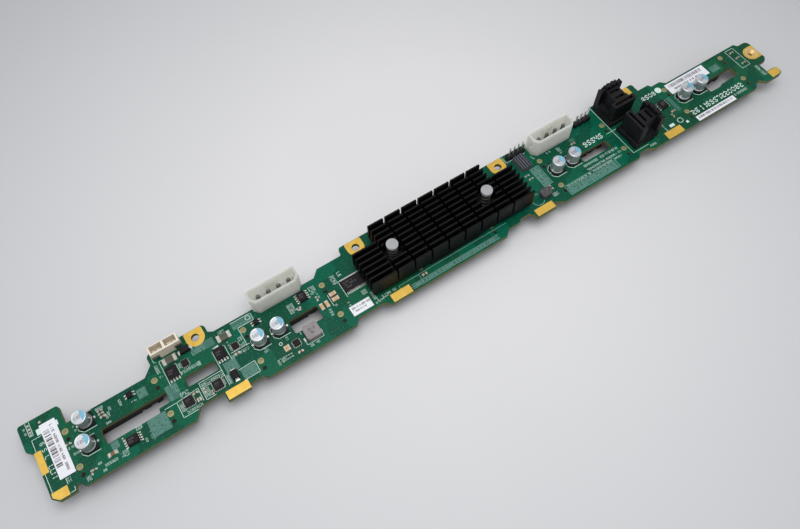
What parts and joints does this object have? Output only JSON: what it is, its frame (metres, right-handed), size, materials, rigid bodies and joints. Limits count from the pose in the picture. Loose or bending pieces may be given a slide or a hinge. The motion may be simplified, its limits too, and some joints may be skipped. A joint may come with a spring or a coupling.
{
  "type": "drive backplane board",
  "caption": "Long narrow server backplane board with pairs of drive sockets under it, a finned chip cooler, power headers and cable sockets on top.",
  "frame": {"origin": "centre of the bounding box in X and Y, on the mating faces of the drive sockets (the lowest plane) in Z", "axes": "+X along the board towards the end with the captive nut, +Y towards the edge with the four screw holes, +Z out of the component side, away from the drives"},
  "size_m": [0.4066, 0.0382, 0.0278],
  "materials": {
    "solder_mask": "deep green glossy solder mask over glass-fibre board",
    "nut_metal": "plated, satin",
    "black_plastic": "matte moulded",
    "gold_contact": "gold flash, bright",
    "black_anodised": "black anodised, satin",
    "chip_resin": "matte moulded resin",
    "grey_pad": "soft thermal pad",
    "white_nylon": "semi-matte nylon",
    "spring_steel": "bright wire",
    "can_aluminium": "bright drawn aluminium",
    "ivory_plastic": "slightly translucent ivory moulding",
    "tin_plate": "tin plated",
    "cream_plastic": "cream moulding",
    "grey_ferrite": "matte ferrite",
    "fuse_body": "dark green laminate",
    "tan_ceramic": "matte tan ceramic",
    "grey_plastic": "grey moulding"
  },
  "bodies": {
    "root": {"circuit_board": "solder_mask", "captive_nut": "nut_metal", "drive_socket_upper_1": "black_plastic", "drive_socket_upper_2": "black_plastic", "drive_socket_upper_3": "black_plastic", "drive_socket_upper_4": "black_plastic", "drive_socket_upper_5": "black_plastic", "drive_socket_lower_1": "black_plastic", "drive_socket_lower_2": "black_plastic", "drive_socket_lower_3": "black_plastic", "drive_socket_lower_4": "black_plastic", "drive_socket_lower_5": "black_plastic", "drive_contacts_1": "gold_contact", "drive_contacts_2": "gold_contact", "drive_contacts_3": "gold_contact", "drive_contacts_4": "gold_contact", "drive_contacts_5": "gold_contact", "heat_sink": "black_anodised", "expander_chip": "chip_resin", "thermal_pad": "grey_pad", "push_pin_left": "white_nylon", "push_pin_right": "white_nylon", "push_pin_spring_left": "spring_steel", "push_pin_spring_right": "spring_steel", "capacitor_cans": "can_aluminium", "capacitor_bases": "black_plastic", "power_header_1": "ivory_plastic", "power_header_2": "ivory_plastic", "power_header_pins": "tin_plate", "pin_header_1": "black_plastic", "pin_header_2": "black_plastic", "pin_header_pins": "gold_contact", "signal_header": "cream_plastic", "signal_header_pins": "tin_plate", "cable_socket_rear": "black_plastic", "cable_socket_front": "black_plastic", "cable_contacts_rear": "gold_contact", "cable_contacts_front": "gold_contact", "memory_chip": "chip_resin", "power_chips": "chip_resin", "logic_chips": "chip_resin", "inductors": "grey_ferrite", "fuses": "fuse_body", "diodes": "chip_resin", "ceramic_capacitors": "tan_ceramic", "ribbed_block": "grey_plastic"}
  },
  "joints": []
}
